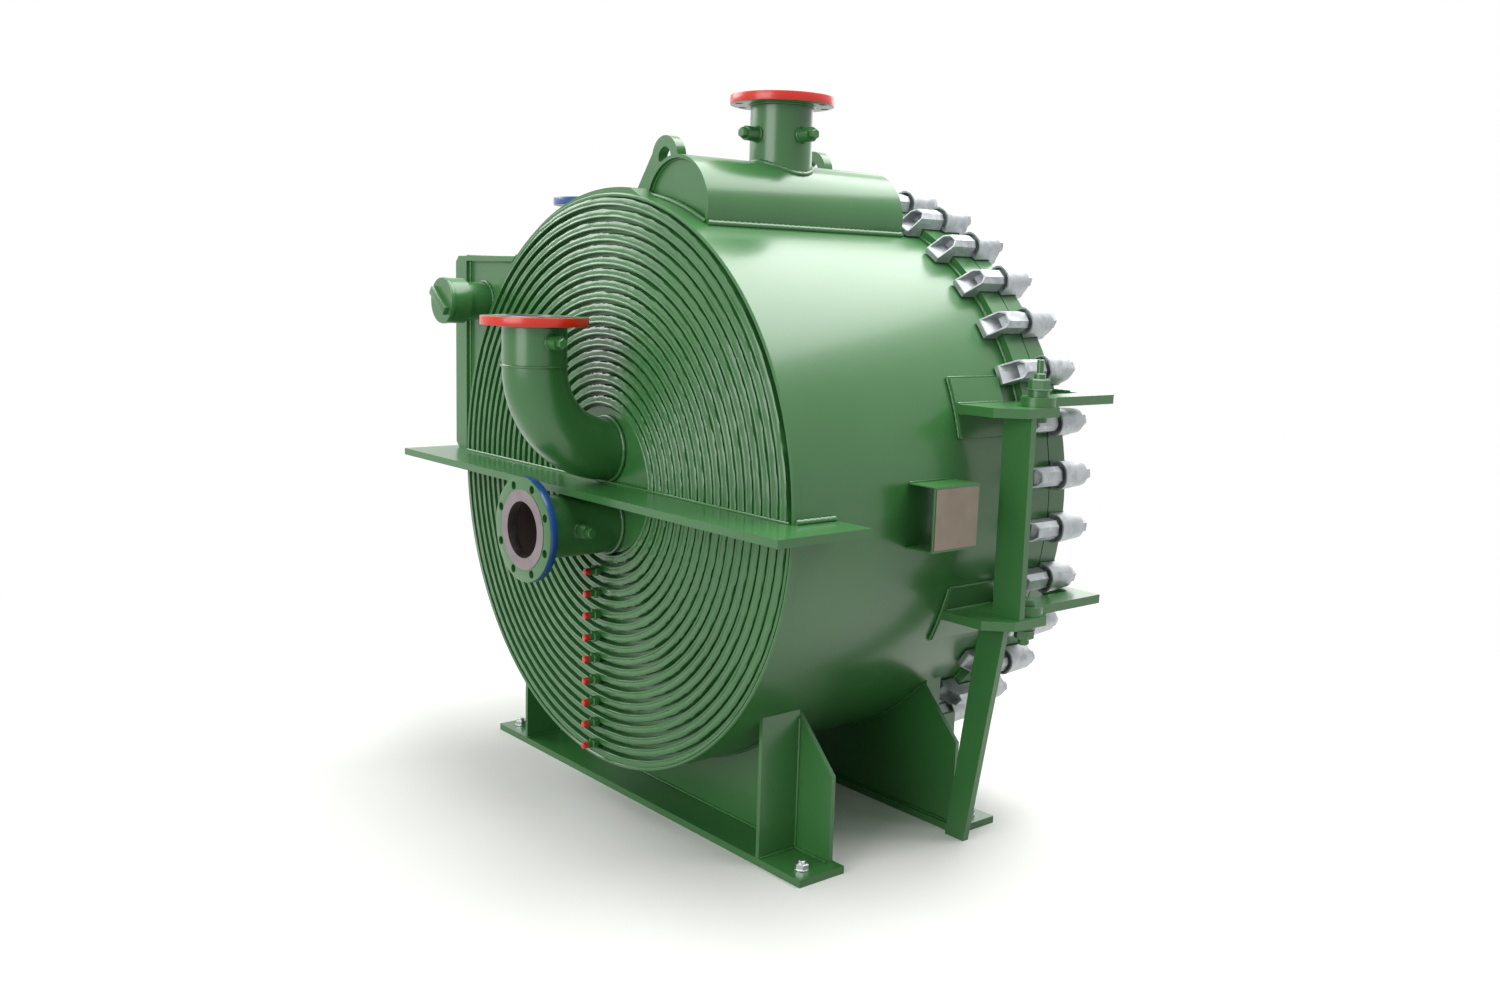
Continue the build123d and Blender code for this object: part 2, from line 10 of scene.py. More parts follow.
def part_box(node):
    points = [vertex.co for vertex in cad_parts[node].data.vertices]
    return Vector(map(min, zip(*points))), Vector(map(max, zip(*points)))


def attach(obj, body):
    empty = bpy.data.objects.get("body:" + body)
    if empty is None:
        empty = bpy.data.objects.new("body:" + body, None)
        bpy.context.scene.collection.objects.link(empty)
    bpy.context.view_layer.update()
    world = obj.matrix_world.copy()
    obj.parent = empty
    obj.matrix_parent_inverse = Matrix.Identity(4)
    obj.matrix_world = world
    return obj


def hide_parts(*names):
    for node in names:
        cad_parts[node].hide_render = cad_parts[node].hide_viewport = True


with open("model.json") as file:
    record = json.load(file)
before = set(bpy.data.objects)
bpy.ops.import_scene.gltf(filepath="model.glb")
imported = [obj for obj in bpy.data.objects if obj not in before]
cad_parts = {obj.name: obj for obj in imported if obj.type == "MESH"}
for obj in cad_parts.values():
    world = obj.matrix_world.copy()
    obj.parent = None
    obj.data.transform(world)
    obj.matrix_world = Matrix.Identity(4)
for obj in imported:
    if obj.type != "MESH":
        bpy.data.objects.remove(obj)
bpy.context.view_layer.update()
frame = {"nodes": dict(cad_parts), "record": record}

MM = 0.001
X, Y, Z = Vector((1, 0, 0)), Vector((0, 1, 0)), Vector((0, 0, 1))
# In millimetres, how near counts as the same and how close points are merged; FACING is a face's squareness
NEAR, MERGE, FACING = 0.01, 0.02, 0.99

# Places and sizes of the drum and its nozzles in millimetres, as all lengths here that have no MM beside them
AXIS = 915
AXIS_Z = AXIS * MM
SHELL_R = 780
CORE_LIFT = 100
HOT_Z, COLD_Z = AXIS + CORE_LIFT, AXIS - CORE_LIFT
ELBOW_Y = -680.6
HEADER_X, HEADER_Y = 215, -50
BOX_X, BOX_Y, BRANCH_Z = -627, -79, 1610.8
HAND_HOLE_X, HAND_HOLE_Z = -694, 1392
DOOR_DRAIN_Z = 170
NECK_R, BORE_R = 85, 77.05
# Instrument couplings: a point on the pipe's middle line, the axis that they lie along and the way they point
COUPLINGS = (((HEADER_X, HEADER_Y, 1860.9), "X", X), ((HEADER_X, HEADER_Y, 1860.9), "Y", -Y),
             ((0, ELBOW_Y, 1306.6), "X", X), ((BOX_X, BOX_Y, BRANCH_Z), "Y", -Y), ((0, -588, COLD_Z), "X", X))


# Materials
def srgb(code):
    """An sRGB hex value as the linear colour that a shader socket takes."""
    parts = [int(code[place:place + 2], 16) / 255 for place in (1, 3, 5)]
    return tuple(p / 12.92 if p <= 0.04045 else ((p + 0.055) / 1.055) ** 2.4 for p in parts) + (1.0,)


def add(tree, kind, inputs=None, links=None, **settings):
    """Adds one node with its settings, input values and links."""
    node = tree.nodes.new("ShaderNode" + kind)
    for name, value in settings.items():
        setattr(node, name, value)
    for name, value in (inputs or {}).items():
        node.inputs[name].default_value = value
    for name, source in (links or {}).items():
        tree.links.new(source, node.inputs[name])
    return node


def new_material(name):
    """A material with its node tree, its shader and the coordinates that its patterns follow."""
    material = bpy.data.materials.new(name)
    material.use_nodes = True
    tree = material.node_tree
    place = add(tree, "TexCoord").outputs["Object"]
    return material, tree, tree.nodes["Principled BSDF"], place


# The colour sockets of a Mix node, by number
MIX_FACTOR, MIX_A, MIX_B, MIX_OUT = 0, 6, 7, 2


def enamel(name, deep, fresh, cloud_mm=420, peel_mm=14):
    """Brushed-on gloss enamel: a slow drift of tone, faint orange peel and a hard clear skin.
    Real orange peel is 2 to 3 mm across, drawn coarser so that it shows."""
    material, tree, shader, place = new_material(name)
    cloud = add(tree, "TexNoise", {"Scale": 1 / (cloud_mm * MM), "Detail": 4.0}, {"Vector": place})
    tone = add(tree, "Mix", {MIX_A: srgb(deep), MIX_B: srgb(fresh)},
               {MIX_FACTOR: cloud.outputs["Fac"]}, data_type="RGBA")
    peel = add(tree, "TexNoise", {"Scale": 1 / (peel_mm * MM), "Detail": 2.0}, {"Vector": place})
    skin = add(tree, "Bump", {"Strength": 0.12, "Distance": 1.2 * MM}, {"Height": peel.outputs["Fac"]})
    matt = add(tree, "MapRange", {"To Min": 0.24, "To Max": 0.4}, {"Value": cloud.outputs["Fac"]})
    tree.links.new(tone.outputs[MIX_OUT], shader.inputs["Base Color"])
    tree.links.new(matt.outputs["Result"], shader.inputs["Roughness"])
    tree.links.new(skin.outputs["Normal"], shader.inputs["Normal"])
    shader.inputs["Coat Weight"].default_value = 0.35
    shader.inputs["Coat Roughness"].default_value = 0.16
    return material


def painted_pipe(name, centre_mm, along, bore_mm):
    """The green enamel of the drum outside and dark mill-scaled steel inside a straight pipe's bore."""
    mill_scale, scale_matt = "#3B312B", 0.4
    material = GREEN.copy()
    material.name = name
    tree = material.node_tree
    shader = tree.nodes["Principled BSDF"]
    flat = tuple(0 if axis == along else 1 for axis in "XYZ")
    centre = tuple(-place * MM * keep for place, keep in zip(centre_mm, flat))
    place = add(tree, "TexCoord").outputs["Object"]
    middle = add(tree, "Mapping", {"Location": centre, "Scale": flat}, {"Vector": place})
    reach = add(tree, "VectorMath", None, {0: middle.outputs["Vector"]}, operation="LENGTH")
    inside = add(tree, "Math", {1: (bore_mm + 1) * MM}, {0: reach.outputs["Value"]}, operation="LESS_THAN")
    paint = shader.inputs["Base Color"].links[0].from_socket
    tone = add(tree, "Mix", {MIX_B: srgb(mill_scale)}, {MIX_FACTOR: inside.outputs["Value"], MIX_A: paint},
               data_type="RGBA")
    gloss = shader.inputs["Roughness"].links[0].from_socket
    matt = add(tree, "Math", {1: scale_matt}, {0: inside.outputs["Value"]}, operation="MULTIPLY")
    rough = add(tree, "Math", None, {0: gloss, 1: matt.outputs["Value"]}, operation="ADD")
    tree.links.new(tone.outputs[MIX_OUT], shader.inputs["Base Color"])
    tree.links.new(rough.outputs["Value"], shader.inputs["Roughness"])
    return material


def hot_dip_galvanised():
    """Zinc-dipped cast steel: pale grey, mottled by its spangle, half bright and half dull."""
    material, tree, shader, place = new_material("hot_dip_galvanised_steel")
    spangle_mm, cloud_mm, grit_mm = 16, 60, 5
    dull, bright = "#8F9498", "#CBCFD2"
    spangle = add(tree, "TexVoronoi", {"Scale": 1 / (spangle_mm * MM)}, {"Vector": place})
    grey = add(tree, "RGBToBW", None, {"Color": spangle.outputs["Color"]})
    cloud = add(tree, "TexNoise", {"Scale": 1 / (cloud_mm * MM), "Detail": 3.0}, {"Vector": place})
    both = add(tree, "Math", None, {0: grey.outputs["Val"], 1: cloud.outputs["Fac"]}, operation="ADD")
    half = add(tree, "Math", {1: 0.5}, {0: both.outputs["Value"]}, operation="MULTIPLY")
    tone = add(tree, "Mix", {MIX_A: srgb(dull), MIX_B: srgb(bright)},
               {MIX_FACTOR: half.outputs["Value"]}, data_type="RGBA")
    matt = add(tree, "MapRange", {"To Min": 0.32, "To Max": 0.58}, {"Value": half.outputs["Value"]})
    grit = add(tree, "TexNoise", {"Scale": 1 / (grit_mm * MM), "Detail": 2.0}, {"Vector": place})
    skin = add(tree, "Bump", {"Strength": 0.35, "Distance": 0.6 * MM}, {"Height": grit.outputs["Fac"]})
    tree.links.new(tone.outputs[MIX_OUT], shader.inputs["Base Color"])
    tree.links.new(matt.outputs["Result"], shader.inputs["Roughness"])
    tree.links.new(skin.outputs["Normal"], shader.inputs["Normal"])
    shader.inputs["Metallic"].default_value = 0.75
    return material


def metal(name, dark, light, cloud_mm, low_matt, high_matt, grain_mm=(3, 3, 3)):
    """Bare metal: tone, roughness and a fine grain that follow one noise, stretched along the tool's way."""
    material, tree, shader, place = new_material(name)
    cloud = add(tree, "TexNoise", {"Scale": 1 / (cloud_mm * MM), "Detail": 3.0}, {"Vector": place})
    way = add(tree, "Mapping", {"Scale": tuple(1 / (grain * MM) for grain in grain_mm)}, {"Vector": place})
    grain = add(tree, "TexNoise", {"Scale": 1.0, "Detail": 2.0}, {"Vector": way.outputs["Vector"]})
    both = add(tree, "Math", None, {0: cloud.outputs["Fac"], 1: grain.outputs["Fac"]}, operation="MULTIPLY")
    tone = add(tree, "Mix", {MIX_A: srgb(dark), MIX_B: srgb(light)},
               {MIX_FACTOR: cloud.outputs["Fac"]}, data_type="RGBA")
    matt = add(tree, "MapRange", {"To Min": low_matt, "To Max": high_matt, "From Max": 0.5},
               {"Value": both.outputs["Value"]})
    skin = add(tree, "Bump", {"Strength": 0.2, "Distance": 0.3 * MM}, {"Height": grain.outputs["Fac"]})
    tree.links.new(tone.outputs[MIX_OUT], shader.inputs["Base Color"])
    tree.links.new(matt.outputs["Result"], shader.inputs["Roughness"])
    tree.links.new(skin.outputs["Normal"], shader.inputs["Normal"])
    shader.inputs["Metallic"].default_value = 1.0
    return material


def gasket_sheet():
    """Pressed fibre gasket sheet: dark, matt and slightly fibrous."""
    material, tree, shader, place = new_material("fibre_gasket_sheet")
    fibre_mm, dark, light = 9, "#1C1D1E", "#343433"
    fibre = add(tree, "TexNoise", {"Scale": 1 / (fibre_mm * MM), "Detail": 5.0}, {"Vector": place})
    tone = add(tree, "Mix", {MIX_A: srgb(dark), MIX_B: srgb(light)},
               {MIX_FACTOR: fibre.outputs["Fac"]}, data_type="RGBA")
    skin = add(tree, "Bump", {"Strength": 0.3, "Distance": 0.4 * MM}, {"Height": fibre.outputs["Fac"]})
    tree.links.new(tone.outputs[MIX_OUT], shader.inputs["Base Color"])
    tree.links.new(skin.outputs["Normal"], shader.inputs["Normal"])
    shader.inputs["Roughness"].default_value = 0.85
    return material


# Paints, and moulded plastic that shines as they do
GREEN = enamel("green_gloss_enamel", "#316B34", "#437E44")
RED = enamel("red_gloss_enamel", "#CE1C08", "#E6280C", 160)
BLUE = enamel("blue_gloss_enamel", "#0E3F7C", "#1C58A0", 160)
PLUG_RED = enamel("moulded_red_plastic", "#C9180C", "#E02514", 30, 6)
# Bare metals: dipped clamps, plated bolts, a turned face, a blank brushed sheet and mill-finished plate
GALVANISED = hot_dip_galvanised()
ZINC = metal("bright_zinc_plate", "#A9ADB0", "#D5D8DA", 25, 0.2, 0.42)
FACED_STEEL = metal("machined_flange_face", "#7E7274", "#A1979A", 40, 0.3, 0.55)
NAMEPLATE_STEEL = metal("brushed_stainless_sheet", "#6E6458", "#90867A", 90, 0.25, 0.45, (60, 60, 1.5))
WOUND_STEEL = metal("wound_plate_steel", "#5E554E", "#8B8279", 120, 0.4, 0.65, (6, 60, 6))
GASKET = gasket_sheet()

SLOT_MATERIALS = {
    "green_paint": GREEN, "red_paint": RED, "blue_paint": BLUE, "galvanised_steel": GALVANISED,
    "bare_steel": WOUND_STEEL, "gasket_sheet": GASKET,
}
OWN_MATERIALS = {
    "nameplate": NAMEPLATE_STEEL,
    "cold_pipe": painted_pipe("painted_cold_pipe", (0, 0, COLD_Z), "Y", BORE_R),
    "header_neck": painted_pipe("painted_header_neck", (HEADER_X, HEADER_Y, 0), "Z", BORE_R),
    "box_neck": painted_pipe("painted_box_neck", (BOX_X, BOX_Y, 0), "Z", BORE_R),
}


def dress_cad_nodes():
    """Every CAD node takes the material of its slot, or one of its own."""
    for part in frame["record"]["subparts"]:
        node = frame["nodes"][part["node"]]
        material = OWN_MATERIALS.get(part["node"], SLOT_MATERIALS[part["material_slot"]])
        node.data.materials.clear()
        node.data.materials.append(material)


# Modelling by hand
def clear():
    """Back to object mode with nothing selected."""
    if bpy.context.mode != "OBJECT":
        bpy.ops.object.mode_set(mode="OBJECT")
    bpy.ops.object.select_all(action="DESELECT")


def take(piece):
    """Selects one piece and makes it the active one."""
    clear()
    piece.select_set(True)
    bpy.context.view_layer.objects.active = piece
    return piece


def settle(piece):
    """Puts the piece's place, turn and size into its mesh."""
    take(piece)
    bpy.ops.object.transform_apply(location=True, rotation=True, scale=True)
    return piece


def block(low, high):
    """A box between two corners, in millimetres."""
    low, high = Vector(low) * MM, Vector(high) * MM
    clear()
    bpy.ops.mesh.primitive_cube_add(size=1, location=(low + high) / 2)
    piece = bpy.context.active_object
    piece.scale = high - low
    return settle(piece)


def bar(radius, start, end, sides=24):
    """A round or many-sided bar from one point to another, in millimetres."""
    start, end = Vector(start) * MM, Vector(end) * MM
    way = end - start
    clear()
    bpy.ops.mesh.primitive_cylinder_add(vertices=sides, radius=radius * MM, depth=way.length,
                                        location=(start + end) / 2)
    piece = bpy.context.active_object
    piece.rotation_euler = way.to_track_quat("Z", "Y").to_euler()
    return settle(piece)


def chain(points):
    """A chain of edges, drawn from one vertex point by point, in millimetres; it stays in edit mode."""
    spots = [Vector(point) * MM for point in points]
    clear()
    bpy.ops.mesh.primitive_plane_add(size=MM, location=spots[0])
    piece = settle(bpy.context.active_object)
    bpy.ops.object.mode_set(mode="EDIT")
    bpy.ops.mesh.select_mode(type="VERT")
    bpy.ops.mesh.select_all(action="SELECT")
    bpy.ops.mesh.merge(type="CENTER")
    for here, there in zip(spots, spots[1:]):
        bpy.ops.mesh.extrude_region_move(TRANSFORM_OT_translate={"value": there - here})
    return piece


def outline_face(points):
    """A flat face inside a closed outline of points; it stays in edit mode, all selected."""
    piece = chain(points)
    bpy.ops.mesh.select_all(action="SELECT")
    bpy.ops.mesh.edge_face_add()
    return piece


def pick_faces(piece, test):
    """Selects the faces whose centre (in millimetres) and normal pass the test."""
    take(piece)
    bpy.ops.object.mode_set(mode="EDIT")
    bpy.ops.mesh.select_mode(type="FACE")
    bpy.ops.mesh.select_all(action="DESELECT")
    shape = bmesh.from_edit_mesh(piece.data)
    for face in shape.faces:
        face.select_set(test(face.calc_center_median() / MM, face.normal))
    bmesh.update_edit_mesh(piece.data)


def pick_edges(piece, test):
    """Selects the edges whose two ends (in millimetres) pass the test."""
    take(piece)
    bpy.ops.object.mode_set(mode="EDIT")
    bpy.ops.mesh.select_mode(type="EDGE")
    bpy.ops.mesh.select_all(action="DESELECT")
    shape = bmesh.from_edit_mesh(piece.data)
    for edge in shape.edges:
        edge.select_set(test(edge.verts[0].co / MM, edge.verts[1].co / MM))
    bmesh.update_edit_mesh(piece.data)


def rims(way):
    """A test for edges that run square to a direction, as the rims of a bar along it do."""
    return lambda a, b: abs((a - b).dot(way)) < NEAR


def beyond(way, reach):
    """A test for edges that lie further along a direction than a reach."""
    return lambda a, b: a.dot(way) > reach and b.dot(way) > reach


def soften(piece, test, width, segments=2):
    """Bevels the edges that pass the test."""
    pick_edges(piece, test)
    bpy.ops.mesh.bevel(offset=width * MM, segments=segments, affect="EDGES")
    clear()
    return piece


def push(piece, test, move, grow=(1, 1, 1), about=(0, 0, 0)):
    """Extrudes the faces that pass the test, then moves and resizes the new end."""
    pick_faces(piece, test)
    bpy.ops.mesh.extrude_region_move(TRANSFORM_OT_translate={"value": Vector(move) * MM})
    if grow != (1, 1, 1):
        bpy.ops.transform.resize(value=grow, center_override=Vector(about) * MM)
    clear()
    return piece


def cut(piece, cutter, way="DIFFERENCE"):
    """Takes the cutter's shape out of the piece, or keeps only what lies in it."""
    take(piece)
    knife = piece.modifiers.new("cut", "BOOLEAN")
    knife.operation = way
    knife.solver = "EXACT"
    knife.object = cutter
    bpy.ops.object.modifier_apply(modifier=knife.name)
    bpy.data.objects.remove(cutter)
    return piece


def copy_of(piece, place):
    """A copy with its own mesh, set in place by a matrix."""
    twin = bpy.data.objects.new(piece.name, piece.data.copy())
    bpy.context.scene.collection.objects.link(twin)
    twin.data.transform(place)
    return twin


def one_piece(parts):
    """Joins several pieces into the first."""
    clear()
    for part in parts:
        part.select_set(True)
    bpy.context.view_layer.objects.active = parts[0]
    if len(parts) > 1:
        bpy.ops.object.join()
    return parts[0]


def finish_piece(piece, name, body, slot, smooth, *nodes):
    """Cleans the mesh, names the piece and hands it to its body."""
    settle(piece)
    bpy.ops.object.mode_set(mode="EDIT")
    bpy.ops.mesh.select_all(action="SELECT")
    bpy.ops.mesh.remove_doubles(threshold=MERGE * MM)
    bpy.ops.mesh.normals_make_consistent(inside=False)
    take(piece)
    bpy.ops.object.shade_smooth_by_angle(angle=radians(smooth))
    piece.name = name
    piece.data.name = name
    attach(piece, body)
    if nodes:
        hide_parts(*nodes)
    return piece


def coat(piece, material):
    """Gives the whole piece one material."""
    piece.data.materials.clear()
    piece.data.materials.append(material)
    return piece


# Spiral end
RIM_WALL, RIM_CHAMFER = 10, 3
FACE_Y, CREST_Y, BACK_Y = -452, -460, -434
FLOOR_Y, SEAT_Y = -437, -435.5
CORE_R, CORE_BORE_R = 190, 77
STEP, SHIFT, FIELD_R = 31, 15.5, 795
HALF_STEPS = 128
# Across one step, from one plate's edge to the next: how far out and how proud of the face.
# The plate's edge stands up, the weld slopes to a ragged lip, and a groove parts the lip from the next plate.
RIDGE = ((0.0, FACE_Y - FLOOR_Y), (0.3, 9.4), (1.2, 10.4), (4.0, 10.4), (5.2, 9.4), (6.4, 8.4), (9.0, 9.0),
         (12.5, 9.0), (16.0, 8.3), (19.0, 7.2), (21.2, 5.6), (21.8, FACE_Y - FLOOR_Y))


def roughen(piece, middle, seed):
    """Ripples the welds along the axis and frays their lips."""
    weld_low, weld_high, ripple = 1, 9.2, 0.9
    lip_low, lip_high, fray_in, fray_out = 5.0, 6.6, -1.6, 1.2
    draw = random.Random(seed)
    for vertex in piece.data.vertices:
        proud = FACE_Y - vertex.co.y / MM
        if weld_low < proud < weld_high:
            vertex.co.y += draw.uniform(-ripple, ripple) * MM
        if lip_low < proud < lip_high:
            way = (vertex.co - middle) * Vector((1, 0, 1))
            vertex.co += way.normalized() * draw.uniform(fray_in, fray_out) * MM


def wound_half(side):
    """Half of the wound plates' edges, spun about its own centre and then roughened as the welds are."""
    first_groove, first_seed = 8, 7
    centre = SHIFT * side
    start = CORE_R if side > 0 else CORE_R + STEP
    outline = [(0, SEAT_Y), (0, FACE_Y), (start - first_groove, FACE_Y), (start - first_groove, FLOOR_Y)]
    radius = start
    while radius + RIDGE[-1][0] < FIELD_R:
        outline += [(radius + out, FACE_Y - proud) for out, proud in RIDGE]
        radius += STEP
    outline.append((radius, SEAT_Y))
    middle = Vector((centre * MM, 0, AXIS_Z))
    piece = outline_face([(centre + out, y, AXIS) for out, y in outline])
    bpy.ops.mesh.spin(steps=HALF_STEPS, angle=pi, center=middle, axis=(0, -side, 0))
    bpy.ops.mesh.select_all(action="SELECT")
    bpy.ops.mesh.remove_doubles(threshold=MERGE * MM)
    bpy.ops.mesh.normals_make_consistent(inside=False)
    take(piece)
    roughen(piece, middle, first_seed + side)
    return piece


def outer_turn_end():
    """The outer plate's last turn, lapped on the shell: it grows out of it and ends aslant by the header."""
    outer_from, inner_from, last, steps = 83.4, 78.5, 126, 24
    lap, clear_of_shell, sunk, deep, set_back = 16, 0.5, 4, 56, 6
    outline = []
    for step in range(steps + 1):
        turn = radians(outer_from + (last - outer_from) * step / steps)
        reach = SHELL_R + clear_of_shell + lap * (1 - step / steps)
        outline.append((reach * cos(turn), CREST_Y + set_back, AXIS + reach * sin(turn)))
    for step in range(steps + 1):
        turn = radians(last + (inner_from - last) * step / steps)
        reach = SHELL_R - sunk
        outline.append((reach * cos(turn), CREST_Y + set_back, AXIS + reach * sin(turn)))
    strip = outline_face(outline)
    bpy.ops.mesh.extrude_region_move(TRANSFORM_OT_translate={"value": (0, deep * MM, 0)})
    clear()
    return strip


def rim_ring():
    """The shell's own edge round the wound plates, chamfered inside and out."""
    inside, crest = SHELL_R - RIM_WALL, CREST_Y + RIM_CHAMFER
    section = ((inside, SEAT_Y), (inside, crest), (inside + RIM_CHAMFER, CREST_Y),
               (SHELL_R - RIM_CHAMFER, CREST_Y), (SHELL_R, crest), (SHELL_R, SEAT_Y))
    rim = outline_face([(out, y, AXIS) for out, y in section])
    bpy.ops.mesh.delete(type="ONLY_FACE")
    bpy.ops.mesh.select_all(action="SELECT")
    bpy.ops.mesh.spin(steps=2 * HALF_STEPS, angle=2 * pi, center=(0, 0, AXIS_Z), axis=(0, 1, 0))
    return rim


def spiral_end():
    """The welded end of the drum: a disc, the two wound halves, the rim and the last turn's end."""
    overrun, lap, bore_sides = 40, 1, 64
    front, back = FACE_Y - overrun, BACK_Y + overrun
    disc = bar(SHELL_R, (0, SEAT_Y - lap, AXIS), (0, BACK_Y, AXIS), 2 * HALF_STEPS)
    halves = [wound_half(1), wound_half(-1)]
    for part in [disc] + halves:
        for z in (COLD_Z, HOT_Z):
            cut(part, bar(CORE_BORE_R, (0, front, z), (0, back, z), bore_sides))
    for half in halves:
        field = bar(SHELL_R - RIM_WALL + lap, (0, front, AXIS), (0, back, AXIS), 2 * HALF_STEPS)
        cut(half, field, "INTERSECT")
    piece = coat(one_piece([disc] + halves + [rim_ring(), outer_turn_end()]), GREEN)
    finish_piece(piece, "spiral_end_welded", "drum", "green_paint", 40, "spiral_end")


# Nozzle flanges
FLANGE_R, FLANGE_T, FLANGE_SIDES, FLANGE_ROUND = 139.7, 25.4, 96, 1.8
RAISED_R, RAISED_H = 107.95, 1.6
BOLT_PCR, BOLT_HOLE_R, BOLT_COUNT, BOLT_SIDES = 120.65, 11.1, 8, 20


def paint_flange(piece, rim_paint):
    """Painted rim, green front and back, bare raised face and bore."""
    rim_depth, rim_slope, edge, step = 4, 0.8, 0.5, 0.1
    piece.data.materials.clear()
    for material in (GREEN, rim_paint, FACED_STEEL):
        piece.data.materials.append(material)
    for face in piece.data.polygons:
        reach, height = face.center.xy.length / MM, face.center.z / MM
        rim = reach > FLANGE_R - rim_depth and abs(face.normal.z) < rim_slope
        raised = reach < RAISED_R + edge and height > step - RAISED_H
        bare = raised or reach < BORE_R + edge
        face.material_index = 1 if rim else 2 if bare else 0


def nozzle_flange(rim_paint):
    """A flange lying at the origin, with its raised face up at zero."""
    overrun = 9
    ends = (lambda centre, normal: abs(normal.z) > FACING and centre.xy.length < 1)
    top = (lambda centre, normal: normal.z > FACING and centre.xy.length < 1)
    piece = bar(FLANGE_R, (0, 0, -FLANGE_T), (0, 0, -RAISED_H), FLANGE_SIDES)
    soften(piece, rims(Z), FLANGE_ROUND)
    pick_faces(piece, ends)
    bpy.ops.mesh.inset(thickness=(FLANGE_R - RAISED_R) * MM)
    push(piece, top, (0, 0, RAISED_H))
    pick_faces(piece, ends)
    bpy.ops.mesh.inset(thickness=(RAISED_R - BORE_R) * MM)
    bpy.ops.mesh.bridge_edge_loops()
    drill = bar(BOLT_HOLE_R, (BOLT_PCR, 0, -FLANGE_T - overrun), (BOLT_PCR, 0, overrun), BOLT_SIDES)
    turns = [radians(360 / BOLT_COUNT * (place + 0.5)) for place in range(BOLT_COUNT)]
    holes = [copy_of(drill, Matrix.Rotation(turn, 4, "Z")) for turn in turns]
    bpy.data.objects.remove(drill)
    cut(piece, one_piece(holes))
    paint_flange(piece, rim_paint)
    return piece


def nozzle_flanges():
    """Each flange stands where its CAD node is, with its face outwards."""
    lying = Matrix.Rotation(radians(90), 4, "X")
    for node, paint, slot in (("elbow_flange", RED, "red_paint"), ("header_flange", RED, "red_paint"),
                              ("box_flange", BLUE, "blue_paint"), ("cold_flange", BLUE, "blue_paint")):
        piece = nozzle_flange(paint)
        low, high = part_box(node)
        face = (low + high) / 2
        if node == "cold_flange":
            face.y = low.y
            piece.data.transform(lying)
        else:
            face.z = high.z
        piece.data.transform(Matrix.Translation(face))
        finish_piece(piece, node + "_faced", "drum", slot, 35, node)


# Clamps, drawn at the drum's +X side: out is measured from the flange rim
RIM = 805
CLAMP_COUNT = 36
CLAMP_SEAT = 2.5


def clamp_block(out0, out1, y0, y1, half):
    return block((RIM + out0, y0, AXIS - half), (RIM + out1, y1, AXIS + half))


def clamp_hood():
    """The front jaw: a round-backed hood, hollow behind, whose two short legs stand on the door."""
    crown, back, front, half = 58, 435.8, 530, 39
    shoulder, shoulder_steps, nose_round, brow_from = 34, 7, 2.4, 20
    wall, hollow, legs_from, nose = 5, 24, 502, (0.92, 1, 0.86)
    hood = clamp_block(CLAMP_SEAT, crown, back, front, half)
    along_crown = (lambda a, b: abs(a.y - b.y) > front - back - 5 and a.x > RIM + crown - 1)
    soften(hood, along_crown, shoulder, shoulder_steps)
    pick_faces(hood, lambda centre, normal: normal.y > FACING)
    bpy.ops.transform.resize(value=nose, center_override=Vector((RIM, front, AXIS)) * MM)
    pick_faces(hood, lambda centre, normal: normal.y < -FACING)
    bpy.ops.mesh.inset(thickness=wall * MM)
    bpy.ops.mesh.extrude_region_move(TRANSFORM_OT_translate={"value": (0, hollow * MM, 0)})
    take(hood)
    bpy.ops.object.mode_set(mode="EDIT")
    bpy.ops.mesh.select_all(action="SELECT")
    bpy.ops.mesh.bisect(plane_co=(0, legs_from * MM, 0), plane_no=(0, 1, 0))
    clear()
    foot = (lambda centre, normal: normal.x < -FACING and centre.y > legs_from + 1)
    about = (RIM, 0, AXIS)
    for down, spread in ((9, 1.06), (7, 0.95)):
        push(hood, foot, (-down, 0, 0), (1, 1, spread), about)
    gap_low, gap_high, gap_from, gap_to, gap_half, arch, arch_share = -60, -4, 511, 550, 20, 5, 0.7
    between = clamp_block(gap_low, gap_high, gap_from, gap_to, gap_half)
    push(between, lambda centre, normal: normal.x > FACING, (arch, 0, 0), (1, 1, arch_share), about)
    cut(hood, between)
    brow = (lambda a, b: min(a.y, b.y) > front - 1 and min(a.x, b.x) > RIM + brow_from)
    return soften(hood, brow, nose_round)


def clamp_bolt():
    """Washer, hex nut and the end of the bolt, standing proud of the hood's front."""
    out = RIM + 26
    washer_r, washer_from, washer_to, washer_round = 24, 526, 534, 0.8
    nut_r, nut_to, nut_chamfer = 22, 554, 2.6
    stud_r, stud_from, stud_to, stud_chamfer = 13, 550, 563, 2.4
    washer = bar(washer_r, (out, washer_from, AXIS), (out, washer_to, AXIS))
    soften(washer, rims(Y), washer_round, 1)
    nut = bar(nut_r, (out, washer_to, AXIS), (out, nut_to, AXIS), 6)
    soften(nut, beyond(Y, nut_to - 1), nut_chamfer, 1)
    stud = bar(stud_r, (out, stud_from, AXIS), (out, stud_to, AXIS), 16)
    soften(stud, beyond(Y, stud_to - 1), stud_chamfer, 1)
    return [washer, nut, stud]


